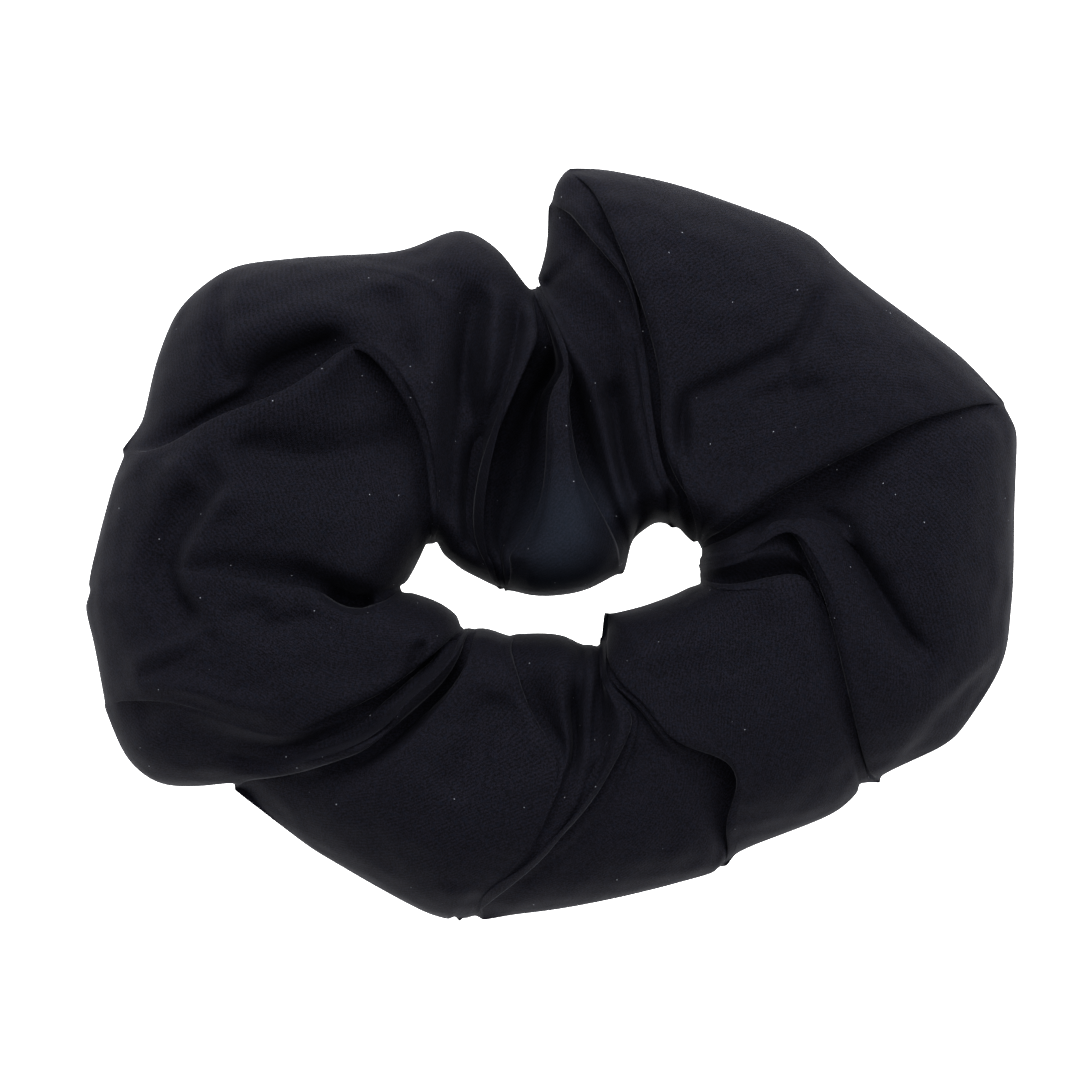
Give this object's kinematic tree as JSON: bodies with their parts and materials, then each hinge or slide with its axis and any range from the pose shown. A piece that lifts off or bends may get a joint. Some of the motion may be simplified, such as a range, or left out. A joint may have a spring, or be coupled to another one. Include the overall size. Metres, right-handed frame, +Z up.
{
  "type": "scrunchie",
  "caption": "Gathered fabric hair scrunchie: a soft ring-shaped crepe cover over a closed loop of flat elastic, lying flat, with an opening for hair.",
  "frame": {"origin": "on the resting plane, under the middle of the whole object", "axes": "+X along the longest extent, +Y to the back as it lies, +Z up through the hair opening"},
  "size_m": [0.111, 0.0895, 0.027],
  "materials": {
    "cover_fabric": "matt navy-black crepe knit with a fine rib",
    "elastic": "black braided elastic",
    "thread": "navy spun polyester sewing thread"
  },
  "bodies": {
    "front_half": {"cover_front": "cover_fabric", "elastic_band": "elastic", "elastic_join_stitches": "thread", "tube_seam_thread": "thread"},
    "back_half": {"cover_back": "cover_fabric", "closing_seam_thread": "thread"}
  },
  "joints": [
    {"name": "ring_stretch", "type": "slide", "parent": "front_half", "child": "back_half", "axis": [0, 1, 0], "range_m": [0, 0.05], "stiffness_N_per_m": 60, "deforming": ["elastic_band", "tube_seam_thread"]}
  ]
}
